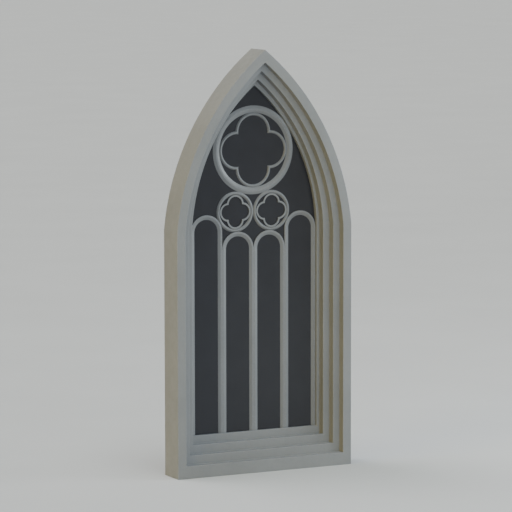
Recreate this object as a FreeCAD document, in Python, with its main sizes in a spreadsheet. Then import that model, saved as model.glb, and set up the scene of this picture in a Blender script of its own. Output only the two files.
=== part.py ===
import FreeCAD, Part
import Sketcher
import os

# Arched window frame: a stepped pointed frame with four lights and roundel tracery.
#
# Millimetres. X runs across the window, Y from the front face (negative) to the back, Z up.
# The origin is at the middle of the underside of the outer sill, half way through the depth.

os.makedirs("parts", exist_ok=True)
doc = FreeCAD.newDocument("arched_window")
Vector = FreeCAD.Vector
Rotation = FreeCAD.Rotation

# Driving dimensions
SIZES = {
    "frame_width": 1800,
    "frame_depth": 285,
    "frame_height": 3926,
    "springing_height": 2282,
    "inner_frame_depth": 64.5,
    # Width of each step as seen from the front, on the jambs
    "outer_jamb_face": 85,
    "second_jamb_face": 69,
    "third_jamb_face": 68,
    "inner_jamb_face": 30,
    # Height of each step as seen from the front, on the sill
    "outer_sill_face": 117,
    "second_sill_face": 83,
    "third_sill_face": 81,
    "inner_sill_face": 73,
    # Height of each step as seen from the front, at the point of the arch
    "outer_crown_face": 117,
    "second_crown_face": 83,
    "third_crown_face": 81,
    "inner_crown_face": 56,
    # How far below the springing the arcs of each outline are struck from
    "outline_arc_drop": 234,
    "outer_arc_drop": 234,
    "second_arc_drop": 200,
    "third_arc_drop": 110,
    "inner_arc_drop": 70,
    # Glass
    "glass_thickness": 6,
    "glass_to_back": 22,
    # Tracery
    "inner_light_drop": 212,
    "outer_light_drop": 43.8,
    "bar_width": 42.5,
    "bar_bevel": 26,
    "bevel_depth": 10,
    "roundel_ring_width": 33,
    "roundel_bevel": 13,
    "great_ring_width": 68,
    "great_ring_bevel": 26,
    "tracery_seat": 3,
    # Cusped bars inside the roundels
    "cusp_bar_width": 17,
    "cusp_depth": 44,
    "great_cusp_bar_width": 28,
    "great_cusp_bevel": 10,
    "great_cusp_depth": 108,
}

# The outlines, from the outside of the frame to the sight line of the glass
OUTLINES = ["outline", "outer", "second", "third", "inner"]
LAYERS = OUTLINES[1:]
LIGHTS = ["left_outer", "left_inner", "right_inner", "right_outer"]
INNER_LIGHTS = ["left_inner", "right_inner"]
SIDES = {"left": -1, "right": 1}


def fill_sheet(name, cells):
    sheet = doc.addObject("Spreadsheet::Sheet", name)
    for row, (alias, content) in enumerate(cells.items(), start=1):
        sheet.set(f"A{row}", alias)
        sheet.set(f"B{row}", str(content))
        sheet.setAlias(f"B{row}", alias)
    doc.recompute()


def worked_out_cells():
    """Formulas for what follows from the driving dimensions."""
    cells = {
        "front_face": "=-Sizes.frame_depth / 2",
        "back_face": "=Sizes.frame_depth / 2",
        "springing": "=Sizes.springing_height",
        "outline_half": "=Sizes.frame_width / 2",
        "outline_base": "=0",
        "outline_apex": "=Sizes.frame_height",
        "step_depth": f"=(Sizes.frame_depth - Sizes.inner_frame_depth) / {len(LAYERS) - 1}",
    }
    for outside, layer in zip(OUTLINES, LAYERS):
        cells[f"{layer}_half"] = f"={outside}_half - Sizes.{layer}_jamb_face"
        cells[f"{layer}_base"] = f"={outside}_base + Sizes.{layer}_sill_face"
        cells[f"{layer}_apex"] = f"={outside}_apex - Sizes.{layer}_crown_face"
        cells[f"{layer}_front"] = f"=front_face + {LAYERS.index(layer)} * step_depth"
    # Each outline's right-hand arc passes through its springing point and its apex
    for edge in OUTLINES:
        drop = f"Sizes.{edge}_arc_drop"
        cells[f"{edge}_strike"] = f"=springing - {drop}"
        cells[f"{edge}_offset"] = (
            f"=(({edge}_apex - {edge}_strike) ^ 2 - {drop} ^ 2 - {edge}_half ^ 2)"
            f" / (2 * {edge}_half)"
        )
        cells[f"{edge}_radius"] = f"=sqrt(({edge}_half + {edge}_offset) ^ 2 + {drop} ^ 2)"
    # Four equal lights fill the width between the inner jambs
    cells["pitch"] = "=inner_half / 2"
    cells["head_radius"] = "=pitch / 2"
    cells["light_radius"] = "=head_radius - Sizes.bar_width"
    cells["glass_back"] = "=back_face - Sizes.glass_to_back"
    cells["glass_front"] = "=glass_back - Sizes.glass_thickness"
    cells["tracery_front"] = "=glass_front - Sizes.bevel_depth"
    # Each small roundel rests on an inner and an outer light head and meets its twin on the
    # centre line: the distance of its centre from there solves a quadratic, a x^2 - b x + c = 0
    cells["inner_light_spring"] = "=springing - Sizes.inner_light_drop"
    cells["outer_light_spring"] = "=springing - Sizes.outer_light_drop"
    cells["rest_step"] = "=outer_light_spring - inner_light_spring"
    cells["rest_reach"] = "=head_radius - Sizes.tracery_seat / 2"
    cells["rest_slope"] = "=pitch / rest_step"
    cells["rest_rise"] = "=rest_step / 2 + pitch * rest_slope"
    cells["rest_a"] = "=rest_slope ^ 2"
    cells["rest_b"] = "=2 * rest_rise * rest_slope + pitch + 2 * rest_reach"
    cells["rest_c"] = "=pitch ^ 2 / 4 + rest_rise ^ 2 - rest_reach ^ 2"
    cells["roundel_x"] = "=(rest_b - sqrt(rest_b ^ 2 - 4 * rest_a * rest_c)) / (2 * rest_a)"
    cells["roundel_z"] = "=inner_light_spring + rest_rise - rest_slope * roundel_x"
    cells["roundel_radius"] = "=roundel_x + Sizes.tracery_seat / 2"
    # The great roundel touches the small roundels and the arcs of the inner arch: the height of
    # its centre solves a quadratic, a z^2 + b z + c = 0
    cells["nest_sum"] = "=inner_radius + roundel_radius"
    cells["nest_m"] = (
        "=roundel_x ^ 2 - inner_offset ^ 2 - nest_sum ^ 2 + roundel_z ^ 2 - inner_strike ^ 2"
    )
    cells["nest_n"] = "=2 * (inner_strike - roundel_z)"
    cells["nest_a"] = "=4 * nest_sum ^ 2 - nest_n ^ 2"
    cells["nest_b"] = "=-8 * nest_sum ^ 2 * inner_strike - 2 * nest_m * nest_n"
    cells["nest_c"] = "=4 * nest_sum ^ 2 * (inner_offset ^ 2 + inner_strike ^ 2) - nest_m ^ 2"
    cells["great_z"] = "=(sqrt(nest_b ^ 2 - 4 * nest_a * nest_c) - nest_b) / (2 * nest_a)"
    cells["great_radius"] = (
        "=inner_radius + Sizes.tracery_seat"
        " - sqrt(inner_offset ^ 2 + (great_z - inner_strike) ^ 2)"
    )
    cells["great_inner"] = "=great_radius - Sizes.great_ring_width"
    cells["roundel_inner"] = "=roundel_radius - Sizes.roundel_ring_width"
    # The lobes of a quatrefoil reach the ring, and cross on the diagonals at the cusps
    for prefix, ring_inner in (("", "roundel_inner"), ("great_", "great_inner")):
        cells[f"{prefix}lobe_reach"] = (
            f"={ring_inner} + Sizes.tracery_seat - Sizes.{prefix}cusp_bar_width"
        )
        cells[f"{prefix}cusp_reach"] = f"={prefix}lobe_reach - Sizes.{prefix}cusp_depth"
        cells[f"{prefix}lobe_offset"] = (
            f"=({prefix}lobe_reach ^ 2 - {prefix}cusp_reach ^ 2)"
            f" / (2 * {prefix}lobe_reach - sqrt(2) * {prefix}cusp_reach)"
        )
        cells[f"{prefix}lobe_radius"] = f"={prefix}lobe_reach - {prefix}lobe_offset"
    return cells


fill_sheet("Sizes", SIZES)
fill_sheet("Worked", worked_out_cells())


def size(name):
    """The expression for a cell, whichever sheet it is in."""
    return f"Sizes.{name}" if name in SIZES else f"Worked.{name}"


FRONT = size("front_face")
BACK = size("back_face")
GLASS_FRONT = size("glass_front")
GLASS_BACK = size("glass_back")
TRACERY_FRONT = size("tracery_front")
RIGHT_THROUGH = (FRONT, BACK)
PANE = (GLASS_FRONT, GLASS_BACK)


def bind(obj, **expressions):
    for prop, text in expressions.items():
        obj.setExpression(prop.replace("__", "."), text)
    return obj


def place(obj, x, y, z, rotation=Rotation()):
    obj.Placement = FreeCAD.Placement(Vector(), rotation)
    return bind(obj, Placement__Base__x=x, Placement__Base__y=y, Placement__Base__z=z)


# Degrees
FULL_TURN = 360
HALF_TURN = 180
QUARTER_TURN = 90
EIGHTH_TURN = 45

# The lobes of a quatrefoil, clockwise from straight up as seen from the front, and how much of a
# ring is turned for each before it is mitred against its neighbours
LOBE_DIRECTIONS = {"top": 0, "right": 90, "bottom": 180, "left": 270}
LOBE_SWEEP = 240

# Turns a shape's own Z axis to point at the back of the window
TO_BACK = Rotation(Vector(1, 0, 0), -QUARTER_TURN)


def turned_from_up(angle):
    """A turn within the window's plane, clockwise as seen from the front."""
    return Rotation(Vector(0, 1, 0), angle)


def box(label, x, y, z, length, width, height, rotation=Rotation()):
    obj = doc.addObject("Part::Box", label)
    bind(obj, Length=length, Width=width, Height=height)
    return place(obj, x, y, z, rotation)


def disc(label, x, z, radius, span):
    front, back = span
    obj = doc.addObject("Part::Cylinder", label)
    bind(obj, Radius=radius, Height=f"{back} - ({front})")
    return place(obj, x, front, z, TO_BACK)


def cut(label, base, tool):
    obj = doc.addObject("Part::Cut", label)
    obj.Base = base
    obj.Tool = tool
    return obj


def common(label, *shapes):
    obj = doc.addObject("Part::MultiCommon", label)
    obj.Shapes = list(shapes)
    return obj


def fuse(label, *shapes):
    obj = doc.addObject("Part::MultiFuse", label)
    obj.Shapes = list(shapes)
    return obj


def evaluate(obj, text):
    value = obj.evalExpression(text)
    return float(getattr(value, "Value", value))


def profile(body, plane, label, corners):
    """A closed polygon on one of the body's planes, with each corner bound to its expressions."""
    sketch = body.newObject("Sketcher::SketchObject", label)
    origin_plane = next(f for f in body.Origin.OriginFeatures if f.Role == plane)
    sketch.AttachmentSupport = [(origin_plane, "")]
    sketch.MapMode = "FlatFace"
    values = [tuple(evaluate(sketch, text) for text in corner) for corner in corners]
    points = [Vector(*value, 0) for value in values]
    for ends in zip(points, points[1:] + points[:1]):
        sketch.addGeometry(Part.LineSegment(*ends))
    for i, corner in enumerate(corners):
        sketch.addConstraint(Sketcher.Constraint("Coincident", i, 2, (i + 1) % len(corners), 1))
        for kind, text, value in zip(("DistanceX", "DistanceY"), corner, values[i]):
            index = sketch.addConstraint(Sketcher.Constraint(kind, -1, 1, i, 1, value))
            sketch.setExpression(f"Constraints[{index}]", text)
    return sketch


def bar_section(inner, outer, inner_bevel, outer_bevel=None):
    """Corners of a tracery bar: square beside and behind the glass, bevelled in front of it."""
    corners = [
        (inner, BACK),
        (inner, GLASS_FRONT),
        (f"{inner} + {inner_bevel}", TRACERY_FRONT),
    ]
    if outer_bevel:
        corners.append((f"{outer} - {outer_bevel}", TRACERY_FRONT))
        corners.append((outer, GLASS_FRONT))
    else:
        corners.append((outer, TRACERY_FRONT))
    return corners + [(outer, BACK)]


def ring(label, x, z, section, sweep=FULL_TURN, middle=0):
    """A section turned about an axis that runs from front to back.

    The sweep is centred on a direction given as an angle from straight up. The section itself is
    drawn to the right of the axis, a quarter turn from there.
    """
    body = doc.addObject("PartDesign::Body", label)
    sketch = profile(body, "XZ_Plane", f"{label}_section", section)
    turned = body.newObject("PartDesign::Revolution", f"{label}_turned")
    turned.Profile = sketch
    turned.ReferenceAxis = (sketch, ["V_Axis"])
    turned.Angle = sweep
    turned.Midplane = True
    return place(body, x, "0", z, turned_from_up(middle - QUARTER_TURN).multiply(TO_BACK))


def bar(label, x, bottom, top, section):
    """An upright bar, its section measured from x."""
    body = doc.addObject("PartDesign::Body", label)
    sketch = profile(body, "XY_Plane", f"{label}_section", section)
    raised = body.newObject("PartDesign::Pad", f"{label}_raised")
    raised.Profile = sketch
    bind(raised, Length=f"{top} - {bottom}")
    return place(body, x, "0", bottom)


def pointed_disc(label, edge, side, span):
    """Everything inside one arc of an outline."""
    x = f"{-side} * {size(edge + '_offset')}"
    return disc(label, x, size(f"{edge}_strike"), size(f"{edge}_radius"), span)


def frame_layer(outside, layer):
    """One step of the frame: a sill, two jambs and the two halves of the arch."""
    front = size(f"{layer}_front")
    depth = f"{BACK} - {front}"
    wide = size(f"{outside}_half")
    narrow = size(f"{layer}_half")
    bottom = size(f"{outside}_base")
    seat = size(f"{layer}_base")
    springing = size("springing")
    rise = f"{size(outside + '_apex')} - {springing}"
    sill_height = f"{seat} - {bottom}"
    pieces = [box(f"{layer}_sill", f"-{wide}", front, bottom, f"2 * {wide}", depth, sill_height)]
    for name, side in SIDES.items():
        x = narrow if side > 0 else f"-{wide}"
        face = f"{wide} - {narrow}"
        jamb = box(f"{layer}_{name}_jamb", x, front, seat, face, depth, f"{springing} - {seat}")
        x = "0" if side > 0 else f"-{wide}"
        quarter = box(f"{layer}_{name}_quarter", x, front, springing, wide, depth, rise)
        whole = pointed_disc(f"{layer}_{name}_whole", outside, side, (front, BACK))
        hollow = pointed_disc(f"{layer}_{name}_hollow", layer, side, (front, BACK))
        solid = common(f"{layer}_{name}_segment", quarter, whole)
        pieces += [jamb, cut(f"{layer}_{name}_arch", solid, hollow)]
    return pieces


def light_centre(index):
    """Where the middle of a light is, counted from the left."""
    return f"{index - (len(LIGHTS) - 1) / 2} * {size('pitch')}"


def light_spring(index):
    return size("inner_light_spring" if LIGHTS[index] in INNER_LIGHTS else "outer_light_spring")


def roundel_disc(label, side, span=RIGHT_THROUGH):
    x = f"{side} * {size('roundel_x')}"
    return disc(label, x, size("roundel_z"), size("roundel_radius"), span)


def great_disc(label, span=RIGHT_THROUGH):
    return disc(label, "0", size("great_z"), size("great_radius"), span)


def mirrored(section):
    """The same corners on the other side of x."""
    return [(f"-({x})", y) for x, y in section]


def mullions():
    """The uprights: whole bars between the lights, half bars against the jambs."""
    foot = size("inner_base")
    width = size("bar_width")
    bevel = size("bar_bevel")
    low = size("inner_light_spring")
    high = size("outer_light_spring")
    whole = bar_section(f"-{width}", width, bevel, bevel)
    left_half = bar_section(f"-{width}", "0", bevel)
    right_half = mirrored(left_half)
    pieces = [bar("centre_mullion", "0", foot, low, whole)]
    for name, side in SIDES.items():
        x = f"{side} * {size('pitch')}"
        lower = bar(f"{name}_mullion_lower", x, foot, low, whole)
        upper_section = right_half if side > 0 else left_half
        upper = bar(f"{name}_mullion_upper", x, low, high, upper_section)
        pieces.append(fuse(f"{name}_mullion", lower, upper))
        x = f"{side} * {size('inner_half')}"
        section = left_half if side > 0 else right_half
        pieces.append(bar(f"{name}_jamb_bar", x, foot, high, section))
    return pieces


def light_heads():
    """Round heads over the lights, scribed to the small roundels that sit on them."""
    section = bar_section(size("light_radius"), size("head_radius"), size("bar_bevel"))
    pieces = []
    for index, light in enumerate(LIGHTS):
        x = light_centre(index)
        half = ring(f"{light}_half_ring", x, light_spring(index), section, HALF_TURN)
        side = -1 if index < len(LIGHTS) / 2 else 1
        pieces.append(cut(f"{light}_light_head", half, roundel_disc(f"{light}_scribe", side)))
    return pieces


def small_roundels():
    """Two rings that meet on the centre line, scribed to the great roundel above."""
    bevel = size("roundel_bevel")
    section = bar_section(size("roundel_inner"), size("roundel_radius"), bevel, bevel)
    reach = f"2 * {size('roundel_radius')}"
    lowest = f"{size('roundel_z')} - {size('roundel_radius')}"
    pieces = []
    for name, side in SIDES.items():
        x = f"{side} * {size('roundel_x')}"
        whole = ring(f"{name}_roundel_ring", x, size("roundel_z"), section)
        x = "0" if side > 0 else f"-{reach}"
        own_side = box(f"{name}_own_side", x, FRONT, lowest, reach, size("frame_depth"), reach)
        trimmed = common(f"{name}_roundel_trimmed", whole, own_side)
        pieces.append(cut(f"{name}_roundel", trimmed, great_disc(f"{name}_roundel_scribe")))
    return pieces


def great_roundel():
    """The large ring, let into both halves of the inner arch."""
    bevel = size("great_ring_bevel")
    section = bar_section(size("great_inner"), size("great_radius"), bevel, bevel)
    shapes = [ring("great_ring", "0", size("great_z"), section)]
    for name, side in SIDES.items():
        shapes.append(pointed_disc(f"great_{name}_limit", "inner", side, RIGHT_THROUGH))
    return [common("great_roundel", *shapes)]


def square_section(inner, outer, front, back):
    return [(inner, front), (outer, front), (outer, back), (inner, back)]


def quatrefoil(label, prefix, x, z, ring_inner, bevel=None):
    """Four cusped lobes planted on both faces of a roundel's glass, mitred on the diagonals."""
    offset = size(f"{prefix}lobe_offset")
    inner = size(f"{prefix}lobe_radius")
    outer = f"({inner} + {size(prefix + 'cusp_bar_width')})"
    sections = {
        "front": square_section(inner, outer, TRACERY_FRONT, GLASS_FRONT),
        "back": square_section(inner, outer, GLASS_BACK, BACK),
    }
    if bevel:
        sections["front"][0] = (f"{inner} + {bevel}", TRACERY_FRONT)
        sections["front"][1] = (f"{outer} - {bevel}", TRACERY_FRONT)
    reach = f"{offset} + {outer}"
    faces = []
    for face, section in sections.items():
        lobes = []
        for lobe, angle in LOBE_DIRECTIONS.items():
            name = f"{label}_{face}_{lobe}"
            outward = turned_from_up(angle).multVec(Vector(0, 0, 1))
            lobe_x = f"{x} + {round(outward.x)} * {offset}"
            lobe_z = f"{z} + {round(outward.z)} * {offset}"
            arc = ring(f"{name}_arc", lobe_x, lobe_z, section, LOBE_SWEEP, angle)
            turn = turned_from_up(angle - EIGHTH_TURN)
            quarter = box(f"{name}_quarter", x, FRONT, z, reach, size("frame_depth"), reach, turn)
            lobes.append(common(f"{name}_lobe", arc, quarter))
        four = fuse(f"{label}_{face}_lobes", *lobes)
        rim = disc(f"{label}_{face}_rim", x, z, ring_inner, RIGHT_THROUGH)
        faces.append(common(f"{label}_{face}", four, rim))
    return fuse(label, *faces)


def quatrefoils():
    """Bevelled bars in the great roundel, and slight square ones in the small roundels."""
    z = size("great_z")
    bevel = size("great_cusp_bevel")
    pieces = [quatrefoil("great_quatrefoil", "great_", "0", z, size("great_inner"), bevel)]
    for name, side in SIDES.items():
        x = f"{side} * {size('roundel_x')}"
        z = size("roundel_z")
        pieces.append(quatrefoil(f"{name}_quatrefoil", "", x, z, size("roundel_inner")))
    return pieces


def round_glass():
    """The panes of the three roundels."""
    panes = [disc("great_roundel_glass", "0", size("great_z"), size("great_inner"), PANE)]
    for name, side in SIDES.items():
        x = f"{side} * {size('roundel_x')}"
        radius = size("roundel_inner")
        panes.append(disc(f"{name}_roundel_glass", x, size("roundel_z"), radius, PANE))
    return panes


def glass_below_head(label, index, foot, radius):
    """A tall pane as wide as the circle that heads it, the circle left off."""
    x = f"{light_centre(index)} - {radius}"
    height = f"{light_spring(index)} - {foot}"
    return box(label, x, GLASS_FRONT, foot, f"2 * {radius}", size("glass_thickness"), height)


def light_glass():
    """A round-headed pane in each light."""
    radius = size("light_radius")
    panes = []
    for index, light in enumerate(LIGHTS):
        tall = glass_below_head(f"{light}_pane", index, size("inner_base"), radius)
        top = disc(f"{light}_pane_top", light_centre(index), light_spring(index), radius, PANE)
        panes.append(fuse(f"{light}_light_glass", tall, top))
    return panes


def spandrel_glass():
    """The panes left between the roundels, the light heads and the arch."""
    low = size("inner_light_spring")
    half = size("inner_half")
    height = f"{size('inner_apex')} - {low}"
    thickness = size("glass_thickness")
    field = box("spandrel_field", f"-{half}", GLASS_FRONT, low, f"2 * {half}", thickness, height)
    shapes = [field]
    taken = [great_disc("spandrel_great", PANE)]
    for name, side in SIDES.items():
        shapes.append(pointed_disc(f"spandrel_{name}_limit", "inner", side, PANE))
        taken.append(roundel_disc(f"spandrel_{name}", side, PANE))
    radius = size("head_radius")
    for index, light in enumerate(LIGHTS):
        x = light_centre(index)
        taken.append(disc(f"{light}_taken_top", x, light_spring(index), radius, PANE))
        if light not in INNER_LIGHTS:
            taken.append(glass_below_head(f"{light}_taken_side", index, low, radius))
    pointed = common("spandrel_pointed", *shapes)
    return [cut("spandrel_glass", pointed, fuse("spandrel_taken", *taken))]


nodes = []
for outside, layer in zip(OUTLINES, LAYERS):
    nodes += frame_layer(outside, layer)
nodes += mullions() + light_heads() + small_roundels() + great_roundel() + quatrefoils()
nodes += light_glass() + round_glass() + spandrel_glass()
doc.recompute()

faulty = [obj.Label for obj in doc.Objects if {"Invalid", "Error"} & set(obj.State)]
if faulty:
    raise RuntimeError(f"objects that failed: {faulty}")
for node in nodes:
    if node.Shape.isNull() or not node.Shape.isValid() or not node.Shape.Solids:
        raise RuntimeError(f"{node.Label} has no valid solid")

for node in nodes:
    node.Shape.exportStep(f"parts/{node.Label}.step")
print(f"{len(nodes)} nodes, {sum(len(node.Shape.Solids) for node in nodes)} solids")
print(f"{sum(node.Shape.Volume for node in nodes) / 1e9:.4f} cubic metres")
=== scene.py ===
import math

import bmesh
import bpy
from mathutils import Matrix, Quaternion, Vector


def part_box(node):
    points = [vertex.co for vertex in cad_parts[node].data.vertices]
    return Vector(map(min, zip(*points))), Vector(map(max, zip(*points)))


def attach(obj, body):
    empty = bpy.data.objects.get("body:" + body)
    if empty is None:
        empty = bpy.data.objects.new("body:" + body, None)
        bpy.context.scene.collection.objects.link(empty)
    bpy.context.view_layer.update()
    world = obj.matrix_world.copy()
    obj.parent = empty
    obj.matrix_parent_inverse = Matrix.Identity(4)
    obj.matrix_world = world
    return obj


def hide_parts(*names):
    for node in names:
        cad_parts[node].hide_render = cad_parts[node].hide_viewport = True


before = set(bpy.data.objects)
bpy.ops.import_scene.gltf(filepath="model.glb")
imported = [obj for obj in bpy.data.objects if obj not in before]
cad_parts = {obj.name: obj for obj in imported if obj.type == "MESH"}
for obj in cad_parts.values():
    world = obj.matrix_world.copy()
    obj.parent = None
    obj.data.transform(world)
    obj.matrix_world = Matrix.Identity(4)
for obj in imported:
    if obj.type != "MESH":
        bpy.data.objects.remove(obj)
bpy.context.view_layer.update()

# The outlines, from the outside of the frame to the sight line, and how far below the springing their arcs
# are struck, in metres
LAYERS = ["outer", "second", "third", "inner"]
OUTLINES = ["outline"] + LAYERS
ARC_DROPS = {"outline": 0.234, "outer": 0.234, "second": 0.200, "third": 0.110, "inner": 0.070}
LIGHTS = ["left_outer", "left_inner", "right_inner", "right_outer"]
SIDES = {"left": -1, "right": 1}

# Sections of the tracery bars, in metres. A mullion between two lights is a pair of bars.
BAR_WIDTH = 0.0425
BAR_BEVEL = 0.026
GREAT_RING_WIDTH = 0.068
GREAT_RING_BEVEL = 0.026
ROUNDEL_RING_WIDTH = 0.033
ROUNDEL_BEVEL = 0.013
GREAT_CUSP_BAR = {"width": 0.028, "bevel": 0.010, "depth": 0.108}
SMALL_CUSP_BAR = {"width": 0.017, "bevel": 0.0, "depth": 0.044}
# How far a quatrefoil goes into the ring around it
SEAT = 0.003
# How far the upper part of a mullion goes down into its lower part
LAP = 0.0005
# The backs of the bars stand in by a hair, so that they share no plane with the frame's
BACK_STEP = 0.0003

# Soft edges of sanded and painted timber
ARRIS = 0.003
FINE_ARRIS = 0.0015
CORNER_FILL = 0.004
# Width over which the lightening of an arris, rubbed wear with a painted highlight, fades out
WEAR_AND_HIGHLIGHT_WIDTH = 0.004
# Width over which the painted shade in a corner, with dust, fades out
SHADE_AND_DUST_WIDTH = 0.012
ARRIS_STEPS = 4
# How strongly the arrises of the bars are lightened, as rubbed wear and as a painted highlight
BAR_WEAR_AND_HIGHLIGHT = 0.7
SHARP_ANGLE = math.radians(35)

# Points along the curves
ARC_STEPS = 72
RING_STEPS = 96
LOBE_STEPS = 28

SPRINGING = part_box("outer_left_jamb")[1].z
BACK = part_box("outer_sill")[1].y
TRACERY_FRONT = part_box("centre_mullion")[0].y
TRACERY_BACK = BACK - BACK_STEP
GLASS_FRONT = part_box("spandrel_glass")[0].y
GLASS_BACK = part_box("spandrel_glass")[1].y
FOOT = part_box("inner_sill")[1].z


def outline_shape(index):
    """Half width, foot, point and arc drop of an outline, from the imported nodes."""
    edge = OUTLINES[index]
    if index == 0:
        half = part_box("outer_sill")[1].x
        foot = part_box("outer_sill")[0].z
    else:
        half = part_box(f"{edge}_right_jamb")[0].x
        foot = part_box(f"{edge}_sill")[1].z
    above = f"{LAYERS[index]}_left_arch" if index < len(LAYERS) else "spandrel_glass"
    return half, foot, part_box(above)[1].z, ARC_DROPS[edge]


OUTLINE_SHAPES = {edge: outline_shape(index) for index, edge in enumerate(OUTLINES)}


# In the functions below, a section is a list of corners (u, y, wear, shade), with u measured across it: wear
# marks rubbed arrises, lightened also as a painted highlight, and shade marks painted shade in the corners,
# with dust. A
# solid is a pair: its rows, each (points, y, wear, shade), and whether the points of a row close into a loop.


def outline_points(edge, grow):
    """The closed outline moved outwards evenly, as pairs of x and z from the foot upwards."""
    half, foot, apex, drop = OUTLINE_SHAPES[edge]
    strike = SPRINGING - drop
    offset = ((apex - strike) ** 2 - drop ** 2 - half ** 2) / (2 * half)
    radius = math.hypot(half + offset, drop) + grow
    wide = half + grow
    first = math.acos((wide + offset) / radius)
    last = math.acos(offset / radius)
    right = [(wide, foot - grow)]
    for step in range(ARC_STEPS + 1):
        angle = first + (last - first) * step / ARC_STEPS
        right.append((radius * math.cos(angle) - offset, strike + radius * math.sin(angle)))
    left = [(-x, z) for x, z in reversed(right[:-1])]
    return right + left


def circle_points(centre, radius, first=0.0, last=2 * math.pi, steps=RING_STEPS):
    """An arc about a centre; a whole circle leaves out its last point."""
    whole = last - first >= 2 * math.pi
    points = []
    for step in range(steps if whole else steps + 1):
        angle = first + (last - first) * step / steps
        points.append((centre[0] + radius * math.cos(angle), centre[1] + radius * math.sin(angle)))
    return points


def eased(u, y, before, after, radius, wear_and_highlight=1.0):
    """A corner of a section rounded off, with a strip along it that is lightened as rubbed wear and as a
    painted highlight.
    """
    def at(direction, distance):
        return u + direction[0] * distance, y + direction[1] * distance

    turn = before[0] * after[0] + before[1] * after[1]
    reach = radius / math.tan(math.acos(max(-1.0, min(1.0, turn))) / 2)
    start = at(before, reach)
    end = at(after, reach)
    points = [(*at(before, reach + WEAR_AND_HIGHLIGHT_WIDTH), 0.0, 0.0)]
    for step in range(ARRIS_STEPS + 1):
        share = step / ARRIS_STEPS
        rest = 1 - share
        mixed = [
            rest * rest * start[axis] + 2 * rest * share * (u, y)[axis] + share * share * end[axis]
            for axis in (0, 1)
        ]
        points.append((*mixed, wear_and_highlight, 0.0))
    points.append((*at(after, reach + WEAR_AND_HIGHLIGHT_WIDTH), 0.0, 0.0))
    return points


def towards(start, end):
    length = math.hypot(end[0] - start[0], end[1] - start[1])
    return (end[0] - start[0]) / length, (end[1] - start[1]) / length


def fan(vertices, ring):
    """The end of a bar, closed about its middle; the section is convex."""
    middle = len(vertices)
    corners = [vertices[corner] for corner in ring]
    vertices.append(tuple(sum(places) / len(ring) for places in zip(*corners)))
    return [(middle, ring[i - 1], ring[i]) for i in range(len(ring))]


def mesh_piece(name, solids, material, replaced):
    """One object from several closed solids, with as attributes its edge wear, lightened also as a painted
    highlight, and its painted corner shade with dust.
    """
    mesh = bpy.data.meshes.new(name)
    vertices = []
    faces = []
    wear_and_highlight = []
    shade_and_dust = []
    for rows, looped in solids:
        first = len(vertices)
        count = len(rows[0][0])
        for points, y, row_wear_and_highlight, row_shade_and_dust in rows:
            vertices += [(x, y, z) for x, z in points]
            wear_and_highlight += [row_wear_and_highlight] * count
            shade_and_dust += [row_shade_and_dust] * count
        for i in range(len(rows)):
            here = first + i * count
            there = first + (i + 1) % len(rows) * count
            for k in range(count if looped else count - 1):
                ahead = (k + 1) % count
                faces.append((here + k, here + ahead, there + ahead, there + k))
        if not looped:
            for k in (0, count - 1):
                faces += fan(vertices, [first + i * count + k for i in range(len(rows))])
                wear_and_highlight.append(0.0)
                shade_and_dust.append(0.0)
    mesh.from_pydata(vertices, [], faces)
    for label, values in (("wear_and_highlight", wear_and_highlight), ("shade_and_dust", shade_and_dust)):
        mesh.attributes.new(label, "FLOAT", "POINT").data.foreach_set("value", values)
    shaped = bmesh.new()
    shaped.from_mesh(mesh)
    bmesh.ops.recalc_face_normals(shaped, faces=shaped.faces)
    shaped.to_mesh(mesh)
    shaped.free()
    mesh.polygons.foreach_set("use_smooth", [True] * len(mesh.polygons))
    mesh.set_sharp_from_angle(angle=SHARP_ANGLE)
    mesh.materials.append(material)
    piece = bpy.data.objects.new(name, mesh)
    bpy.context.scene.collection.objects.link(piece)
    normals = piece.modifiers.new("flat faces stay flat", "WEIGHTED_NORMAL")
    normals.keep_sharp = True
    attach(piece, "root")
    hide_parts(*replaced)


def frame_rows(index):
    """The section of one step of the frame: its side, its face and its reveal."""
    outside = OUTLINES[index]
    inside = OUTLINES[index + 1]
    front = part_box(f"{LAYERS[index]}_sill")[0].y
    if index == 0:
        side = [(0.0, BACK - WEAR_AND_HIGHLIGHT_WIDTH, 0.0, 0.0)]
        side += eased(0.0, front, (0, 1), (-1, 0), ARRIS)
    else:
        # The fillet in a corner between steps carries painted shade, with dust.
        fill = eased(0.0, front, (0, -1), (-1, 0), CORNER_FILL)
        side = [(u, y, 0.0, 1.0 if on_fillet else 0.0) for u, y, on_fillet, _ in fill[1:-1]]
        side.append((-SHADE_AND_DUST_WIDTH, front, 0.0, 0.0))
    reveal = eased(0.0, front, (1, 0), (0, 1), ARRIS)
    rows = [(outline_points(outside, u), y, wear_and_highlight, shade_and_dust) for u, y, wear_and_highlight, shade_and_dust in side]
    rows += [(outline_points(inside, u), y, wear_and_highlight, shade_and_dust) for u, y, wear_and_highlight, shade_and_dust in reveal]
    rows.append((outline_points(inside, 0.0), BACK, 0.0, 0.0))
    rows.append((outline_points(outside, 0.0), BACK, 0.0, 0.0))
    return rows


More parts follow.
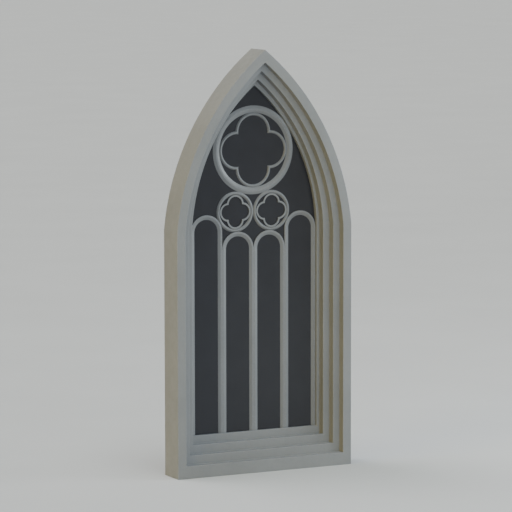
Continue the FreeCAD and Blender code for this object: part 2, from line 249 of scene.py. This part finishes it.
def bar_section(inner, outer, inner_bevel, outer_bevel=0.0, back=TRACERY_BACK):
    """The section of a tracery bar, with soft arrises and painted shade, with dust, where it meets the glass.
    """
    depth = GLASS_FRONT - TRACERY_FRONT
    inner_top = (inner + inner_bevel, TRACERY_FRONT)
    outer_top = (outer - outer_bevel, TRACERY_FRONT)
    down_in = towards(inner_top, (inner, GLASS_FRONT))
    down_out = towards(outer_top, (outer, GLASS_FRONT)) if outer_bevel else (0, 1)
    slope = math.hypot(inner_bevel, depth)
    # The painted shade, with dust, fades out up the bevel from the glass.
    shade_fade = min(SHADE_AND_DUST_WIDTH, slope / 2) / slope
    section = [
        (inner, back, 0.0, 0.0),
        (inner, GLASS_FRONT, 0.0, 1.0),
        (inner + inner_bevel * shade_fade, GLASS_FRONT - depth * shade_fade, 0.0, 0.0),
    ]
    section += eased(*inner_top, down_in, (1, 0), FINE_ARRIS, BAR_WEAR_AND_HIGHLIGHT)[1:-1]
    section += eased(*outer_top, (-1, 0), down_out, FINE_ARRIS, BAR_WEAR_AND_HIGHLIGHT)[1:-1]
    if outer_bevel:
        section.append((outer - outer_bevel * shade_fade, GLASS_FRONT - depth * shade_fade, 0.0, 0.0))
        section.append((outer, GLASS_FRONT, 0.0, 1.0))
    section.append((outer, back, 0.0, 0.0))
    return section


def upright(x, bottom, top, section, flip=1):
    """Rows of an upright bar whose section is measured from x."""
    return [([(x + flip * u, bottom), (x + flip * u, top)], y, w, g) for u, y, w, g in section], False


def turned(centre, section, first=0.0, last=2 * math.pi, steps=RING_STEPS):
    """Rows of a ring, or of part of one, whose section is measured from its centre."""
    rows = [
        (circle_points(centre, u, first, last, steps), y, wear_and_highlight, shade_and_dust)
        for u, y, wear_and_highlight, shade_and_dust in section
    ]
    return rows, last - first >= 2 * math.pi


def quatrefoil_points(centre, offset, radius):
    """Four arcs that meet on the diagonals."""
    reach = (math.sqrt(2) * offset + math.sqrt(4 * radius ** 2 - 2 * offset ** 2)) / 2
    half_sweep = math.atan2(reach / math.sqrt(2), reach / math.sqrt(2) - offset)
    points = []
    for lobe in range(4):
        facing = lobe * math.pi / 2
        lobe_centre = (
            centre[0] + offset * math.cos(facing),
            centre[1] + offset * math.sin(facing),
        )
        arc = circle_points(lobe_centre, radius, facing - half_sweep, facing + half_sweep, LOBE_STEPS)
        points += arc[:-1]
    return points


def quatrefoil_solids(centre, ring_inner, cusp_bar):
    """The front and back of a quatrefoil, planted on the two faces of its pane."""
    lobe_reach = ring_inner + SEAT - cusp_bar["width"]
    cusp_reach = lobe_reach - cusp_bar["depth"]
    offset = (lobe_reach ** 2 - cusp_reach ** 2) / (2 * lobe_reach - math.sqrt(2) * cusp_reach)
    inner = lobe_reach - offset
    outer = inner + cusp_bar["width"]
    front = bar_section(inner, outer, cusp_bar["bevel"], cusp_bar["bevel"], GLASS_FRONT)[1:-1]
    back = [(inner, GLASS_BACK), (outer, GLASS_BACK), (outer, TRACERY_BACK), (inner, TRACERY_BACK)]
    back = [(u, y, 0.0, 0.0) for u, y in back]
    return [
        ([(quatrefoil_points(centre, offset, u), y, w, g) for u, y, w, g in section], True)
        for section in (front, back)
    ]


def disc_of(node):
    """Centre and radius of a round pane."""
    low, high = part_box(node)
    return ((low.x + high.x) / 2, (low.z + high.z) / 2), (high.x - low.x) / 2


def light_of(light):
    """Centre of the round head, and half the width, of a light's pane."""
    low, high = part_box(f"{light}_light_glass")
    radius = (high.x - low.x) / 2
    return ((low.x + high.x) / 2, high.z - radius), radius


# Patterns of the paint, the glass and the floor. Scales are waves per metre, and noise from low to high
# becomes a share from low_out to high_out.
CLOUDS = {"scale": 2.2, "detail": 3, "low": 0.35, "high": 0.65}
MOTTLE = {"scale": 26, "detail": 5, "roughness": 0.6, "low": 0.45, "high": 0.7, "high_out": 0.12}
RUNS = {"scale": 30, "detail": 3, "stretch": (1, 1, 0.06), "low": 0.55, "high": 0.75}
# Patches of the painted corner shade and its dust
SHADE_AND_DUST_PATCHES = {"scale": 40, "detail": 4, "low": 0.3, "high": 0.7, "low_out": 0.5}
# Chips where the arrises are lightened, as wear and as a painted highlight
WEAR_AND_HIGHLIGHT_CHIPS = {
    "scale": 55, "detail": 6, "roughness": 0.65,
    "low": 0.48, "high": 0.62, "low_out": 0.1, "high_out": 0.55,
}
PAINT_ROUGHNESS = {"scale": 14, "detail": 4, "low": 0.3, "high": 0.7, "low_out": 0.42, "high_out": 0.58}
BRUSHING = {"scale": 260, "detail": 3, "stretch": (1, 1, 0.25)}
PEEL = {"scale": 70, "detail": 2}
GLASS_FILM = {"scale": 3.5, "detail": 4, "low": 0.35, "high": 0.7}
GLASS_ROUGHNESS = {"scale": 9, "detail": 5, "low": 0.3, "high": 0.7, "low_out": 0.12, "high_out": 0.26}
RIPPLE = {"scale": 9, "detail": 2, "stretch": (1, 1, 0.45)}
FLOOR_CLOUDS = {"scale": 0.6, "detail": 3, "low": 0.3, "high": 0.7}

# Shades of a surface, as shares of its own colour
DARK_CLOUD = 0.95
PALE_CLOUD = 1.05
MOTTLED = 0.75
STREAKED = 0.7
# Corners: darker as painted shade, with dust
SHADED_AND_DUSTY = 0.45
# Arrises: paler from rubbed wear, and as a painted highlight
RUBBED_AND_HIGHLIT = 1.3
DUSTY = 1.12

# Painted shade in the corners, read from occlusion, with dust: the reach of a corner in metres, and how
# strong the shade is
CORNER_REACH = 0.05
CORNER_SAMPLES = 8
CORNER_SHADE = {"low": 0.3, "high": 0.75, "low_out": 0.05, "high_out": 0.0}
SHADE_AND_DUST_SHARE = 0.12
DIRT_ROUGHNESS = 0.25

# Unevenness of the surfaces: the share of the paint's peel, and strengths with heights in metres
PEEL_SHARE = 1.5
PAINT_BUMP = {"Strength": 0.35, "Distance": 0.0006}
GLASS_BUMP = {"Strength": 0.25, "Distance": 0.004}

GLASS_IOR = 1.5
GLASS_SPECULAR = 0.3
FLOOR_ROUGHNESS = 0.85
FLOOR_SHADES = ([0.45, 0.45, 0.447, 1], [0.47, 0.47, 0.467, 1])


def new_material(name):
    material = bpy.data.materials.new(name)
    material.use_nodes = True
    material.node_tree.nodes.clear()
    return material, material.node_tree.nodes, material.node_tree.links


def shade(colour, share):
    return [min(1.0, channel * share) for channel in colour] + [1]


def link_value(links, source, target):
    """Sets a socket from another socket or from a plain value."""
    if isinstance(source, bpy.types.NodeSocket):
        links.new(source, target)
    else:
        target.default_value = source


def math_node(nodes, links, operation, first, second, clamp=False):
    node = nodes.new("ShaderNodeMath")
    node.operation = operation
    node.use_clamp = clamp
    link_value(links, first, node.inputs[0])
    link_value(links, second, node.inputs[1])
    return node.outputs[0]


def noise_node(nodes, links, scale, detail, stretch=(1, 1, 1), roughness=0.5):
    """Noise in the object's own space, with its scale in waves per metre."""
    place = nodes.new("ShaderNodeTexCoord")
    mapping = nodes.new("ShaderNodeMapping")
    mapping.inputs["Scale"].default_value = stretch
    links.new(place.outputs["Object"], mapping.inputs["Vector"])
    noise = nodes.new("ShaderNodeTexNoise")
    noise.inputs["Scale"].default_value = scale
    noise.inputs["Detail"].default_value = detail
    noise.inputs["Roughness"].default_value = roughness
    links.new(mapping.outputs["Vector"], noise.inputs["Vector"])
    return noise.outputs["Fac"]


def ramp_node(nodes, links, value, low, high, low_out=0.0, high_out=1.0):
    node = nodes.new("ShaderNodeMapRange")
    node.clamp = True
    links.new(value, node.inputs["Value"])
    for name, number in zip(("From Min", "From Max", "To Min", "To Max"), (low, high, low_out, high_out)):
        node.inputs[name].default_value = number
    return node.outputs["Result"]


def pattern_node(nodes, links, scale, detail, low, high, low_out=0.0, high_out=1.0, **form):
    """A share that varies over the surface, from one of the patterns above."""
    noise = noise_node(nodes, links, scale, detail, **form)
    return ramp_node(nodes, links, noise, low, high, low_out, high_out)


def mix_colour(nodes, links, share, first, second):
    node = nodes.new("ShaderNodeMix")
    node.data_type = "RGBA"
    link_value(links, share, node.inputs["Factor"])
    link_value(links, first, node.inputs[6])
    link_value(links, second, node.inputs[7])
    return node.outputs[2]


def attribute_node(nodes, name):
    node = nodes.new("ShaderNodeAttribute")
    node.attribute_name = name
    return node.outputs["Fac"]


def bump_node(nodes, links, height, sizes):
    node = nodes.new("ShaderNodeBump")
    for name, number in sizes.items():
        node.inputs[name].default_value = number
    links.new(height, node.inputs["Height"])
    return node.outputs["Normal"]


def add_shader(nodes, links, base, roughness, normal=None):
    """The shader that ends a material, and its output."""
    shader = nodes.new("ShaderNodeBsdfPrincipled")
    link_value(links, base, shader.inputs["Base Color"])
    link_value(links, roughness, shader.inputs["Roughness"])
    if normal is not None:
        links.new(normal, shader.inputs["Normal"])
    output = nodes.new("ShaderNodeOutputMaterial")
    links.new(shader.outputs["BSDF"], output.inputs["Surface"])
    return shader


def shade_and_dust_share(nodes, links):
    """Painted shade along the foot of the bars and in the corners, read from occlusion, with dust, in
    patches.
    """
    occlusion = nodes.new("ShaderNodeAmbientOcclusion")
    occlusion.samples = CORNER_SAMPLES
    occlusion.inputs["Distance"].default_value = CORNER_REACH
    corner = ramp_node(nodes, links, occlusion.outputs["AO"], **CORNER_SHADE)
    corner_shade_and_dust = math_node(nodes, links, "MULTIPLY", attribute_node(nodes, "shade_and_dust"), SHADE_AND_DUST_SHARE)
    corner_shade_and_dust = math_node(nodes, links, "ADD", corner_shade_and_dust, corner, clamp=True)
    return math_node(nodes, links, "MULTIPLY", corner_shade_and_dust, pattern_node(nodes, links, **SHADE_AND_DUST_PATCHES))


def paint_material(name, colour, streaks):
    """Satin grey paint on timber: mottled and brushed, with rubbed arrises lightened also as a painted
    highlight, and painted shade with dust in its corners.
    """
    material, nodes, links = new_material(name)
    clouds = pattern_node(nodes, links, **CLOUDS)
    base = mix_colour(nodes, links, clouds, shade(colour, DARK_CLOUD), shade(colour, PALE_CLOUD))
    mottle = pattern_node(nodes, links, **MOTTLE)
    base = mix_colour(nodes, links, mottle, base, shade(colour, MOTTLED))
    runs = pattern_node(nodes, links, **RUNS, high_out=streaks)
    base = mix_colour(nodes, links, runs, base, shade(colour, STREAKED))
    corner_shade_and_dust = shade_and_dust_share(nodes, links)
    # The paint darkens in its corners and at the foot of the bars, as painted shade with dust.
    base = mix_colour(nodes, links, corner_shade_and_dust, base, shade(colour, SHADED_AND_DUSTY))
    # Rubbed arrises are lightened in chips, as wear and as a painted highlight.
    wear_and_highlight_chips = pattern_node(nodes, links, **WEAR_AND_HIGHLIGHT_CHIPS)
    rubbed_and_highlit = math_node(nodes, links, "MULTIPLY", attribute_node(nodes, "wear_and_highlight"), wear_and_highlight_chips)
    base = mix_colour(nodes, links, rubbed_and_highlit, base, shade(colour, RUBBED_AND_HIGHLIT))
    roughness = pattern_node(nodes, links, **PAINT_ROUGHNESS)
    dulled = math_node(nodes, links, "MULTIPLY", corner_shade_and_dust, DIRT_ROUGHNESS)
    roughness = math_node(nodes, links, "ADD", roughness, dulled)
    brushing = noise_node(nodes, links, **BRUSHING)
    peel = math_node(nodes, links, "MULTIPLY", noise_node(nodes, links, **PEEL), PEEL_SHARE)
    height = math_node(nodes, links, "ADD", brushing, peel)
    add_shader(nodes, links, base, roughness, bump_node(nodes, links, height, PAINT_BUMP))
    return material


def glass_material(name, colour):
    """Old glass whose near-black colour is the painted shade of a dark room behind it: nearly smooth, a
    little wavy, with a film of dust.
    """
    material, nodes, links = new_material(name)
    film = pattern_node(nodes, links, **GLASS_FILM)
    base = mix_colour(nodes, links, film, [*colour, 1], shade(colour, DUSTY))
    roughness = pattern_node(nodes, links, **GLASS_ROUGHNESS)
    ripple = noise_node(nodes, links, **RIPPLE)
    shader = add_shader(nodes, links, base, roughness, bump_node(nodes, links, ripple, GLASS_BUMP))
    shader.inputs["IOR"].default_value = GLASS_IOR
    shader.inputs["Specular IOR Level"].default_value = GLASS_SPECULAR
    return material


def floor_material(name):
    material, nodes, links = new_material(name)
    base = mix_colour(nodes, links, pattern_node(nodes, links, **FLOOR_CLOUDS), *FLOOR_SHADES)
    add_shader(nodes, links, base, FLOOR_ROUGHNESS)
    return material


frame_paint = paint_material("frame_paint_grey", (0.178, 0.182, 0.185), streaks=0.10)
# The tracery has the frame's paint, made darker as painted shade for its place deep in the recess.
shaded_tracery_paint = paint_material("tracery_paint_grey_shaded", (0.149, 0.153, 0.158), streaks=0.05)
# The glass's near-black colour is painted shade, for the unlit room seen through it.
dark_glass = glass_material("dark_glass", (0.0195, 0.0200, 0.0242))


def add_frame():
    """Each step of the frame as one moulding that runs right round."""
    for index, layer in enumerate(LAYERS):
        nodes = [f"{layer}_sill"]
        for name in SIDES:
            nodes += [f"{layer}_{name}_jamb", f"{layer}_{name}_arch"]
        mesh_piece(f"{layer}_moulding", [(frame_rows(index), True)], frame_paint, nodes)


def add_tracery_piece(node, solids):
    mesh_piece(f"{node}_painted", solids, shaded_tracery_paint, [node])


def add_uprights():
    """The bars between the lights and against the jambs."""
    low = light_of("left_inner")[0][1]
    high = light_of("left_outer")[0][1]
    whole = bar_section(-BAR_WIDTH, BAR_WIDTH, BAR_BEVEL, BAR_BEVEL)
    half_bar = bar_section(-BAR_WIDTH, 0.0, BAR_BEVEL)
    add_tracery_piece("centre_mullion", [upright(0.0, FOOT, low, whole)])
    for name, side in SIDES.items():
        low_corner, high_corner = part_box(f"{name}_mullion")
        x = (low_corner.x + high_corner.x) / 2
        lower = upright(x, FOOT, low, whole)
        upper = upright(x, low - LAP, high, half_bar, -side)
        add_tracery_piece(f"{name}_mullion", [lower, upper])
        edge = side * OUTLINE_SHAPES["inner"][0]
        add_tracery_piece(f"{name}_jamb_bar", [upright(edge, FOOT, high, half_bar, side)])


def add_heads():
    for light in LIGHTS:
        centre, radius = light_of(light)
        section = bar_section(radius, radius + BAR_WIDTH, BAR_BEVEL)
        half_ring = turned(centre, section, 0.0, math.pi, RING_STEPS // 2)
        add_tracery_piece(f"{light}_light_head", [half_ring])


def add_roundels():
    centre, inner = disc_of("great_roundel_glass")
    section = bar_section(inner, inner + GREAT_RING_WIDTH, GREAT_RING_BEVEL, GREAT_RING_BEVEL)
    add_tracery_piece("great_roundel", [turned(centre, section)])
    add_tracery_piece("great_quatrefoil", quatrefoil_solids(centre, inner, GREAT_CUSP_BAR))
    for name in SIDES:
        centre, inner = disc_of(f"{name}_roundel_glass")
        section = bar_section(inner, inner + ROUNDEL_RING_WIDTH, ROUNDEL_BEVEL, ROUNDEL_BEVEL)
        add_tracery_piece(f"{name}_roundel", [turned(centre, section)])
        add_tracery_piece(f"{name}_quatrefoil", quatrefoil_solids(centre, inner, SMALL_CUSP_BAR))


def dress_glass():
    for node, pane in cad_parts.items():
        if node.endswith("_glass"):
            pane.data.materials.clear()
            pane.data.materials.append(dark_glass)


add_frame()
add_uprights()
add_heads()
add_roundels()
dress_glass()


# The studio: a floor that reaches past the top of the picture, and soft lights
FLOOR_REACH = 320
FLOOR_DROP = 0.001
WINDOW_MIDDLE = (0, 0, 2)
WORLD_COLOUR = (0.95, 0.98, 1, 1)
WORLD_STRENGTH = 0.34

# The key light is two lights in one place, and its fill throws no shadows
KEY_PLACE = (11, -6, 5)
KEY_SIZE = 6
KEY_POWER = 750
KEY_COLOUR = (0.86, 0.96, 1.0)

# Direction, strength and colour of each far light
FAR_LIGHT_SPREAD = math.radians(40)
FAR_LIGHTS = {
    "front": ((0, -8, 3), 0.75, (0.84, 0.95, 1.0)),
    "overhead": ((0, -2, 8), 1.7, (0.82, 0.93, 1.0)),
    "rim": ((-3, 3, 7), 1.8, (0.98, 0.98, 1.0)),
    "warm_side": ((-7.3, -1.9, 1.5), 2.3, (1.0, 0.77, 0.18)),
}


def add_floor():
    signs = [(-1, -1), (1, -1), (1, 1), (-1, 1)]
    corners = [(x * FLOOR_REACH, y * FLOOR_REACH, -FLOOR_DROP) for x, y in signs]
    mesh = bpy.data.meshes.new("floor")
    mesh.from_pydata(corners, [], [(0, 1, 2, 3)])
    mesh.materials.append(floor_material("pale_floor"))
    floor = bpy.data.objects.new("floor", mesh)
    bpy.context.scene.collection.objects.link(floor)


def add_light(name, data, colour, energy, place, aim):
    data.color = colour
    data.energy = energy
    light = bpy.data.objects.new(name, data)
    light.location = place
    light.rotation_mode = "QUATERNION"
    light.rotation_quaternion = (Vector(aim) - Vector(place)).to_track_quat("-Z", "Y")
    bpy.context.scene.collection.objects.link(light)


def add_key(name, shadows):
    """A square light, aimed at the middle of the window."""
    data = bpy.data.lights.new(name, "AREA")
    data.shape = "SQUARE"
    data.size = KEY_SIZE
    data.use_shadow = shadows
    add_light(name, data, KEY_COLOUR, KEY_POWER, KEY_PLACE, WINDOW_MIDDLE)


def add_far_light(name, direction, strength, colour):
    """A large, far light that shines from a direction, evenly over the window and the floor."""
    data = bpy.data.lights.new(name, "SUN")
    data.angle = FAR_LIGHT_SPREAD
    add_light(name, data, colour, strength, direction, (0, 0, 0))


def add_world():
    world = bpy.data.worlds.new("studio")
    world.use_nodes = True
    background = world.node_tree.nodes["Background"]
    background.inputs["Color"].default_value = WORLD_COLOUR
    background.inputs["Strength"].default_value = WORLD_STRENGTH
    bpy.context.scene.world = world


def add_lights():
    add_key("key", shadows=True)
    add_key("key_fill", shadows=False)
    for name, values in FAR_LIGHTS.items():
        add_far_light(name, *values)
    add_world()


# The photograph's own view, found from the frame's outline: degrees, metres and millimetres of lens
CAMERA_AIM = Vector((-0.0981, -0.1425, 2.0278))
CAMERA_AZIMUTH = -26.50
CAMERA_ELEVATION = 6.66
CAMERA_ROLL = -0.10
CAMERA_DISTANCE = 29.482
CAMERA_LENS = 224.75


def add_camera():
    """The photograph's own angle: from the left, a little above the middle."""
    azimuth = math.radians(CAMERA_AZIMUTH)
    elevation = math.radians(CAMERA_ELEVATION)
    back = Vector((
        math.sin(azimuth) * math.cos(elevation),
        -math.cos(azimuth) * math.cos(elevation),
        math.sin(elevation),
    ))
    data = bpy.data.cameras.new("camera")
    data.lens = CAMERA_LENS
    data.clip_end = 2 * FLOOR_REACH
    camera = bpy.data.objects.new("camera", data)
    camera.location = CAMERA_AIM + back * CAMERA_DISTANCE
    camera.rotation_mode = "QUATERNION"
    roll = Quaternion((0, 0, 1), math.radians(CAMERA_ROLL))
    camera.rotation_quaternion = (-back).to_track_quat("-Z", "Y") @ roll
    bpy.context.scene.collection.objects.link(camera)
    bpy.context.scene.camera = camera


add_floor()
add_lights()
add_camera()
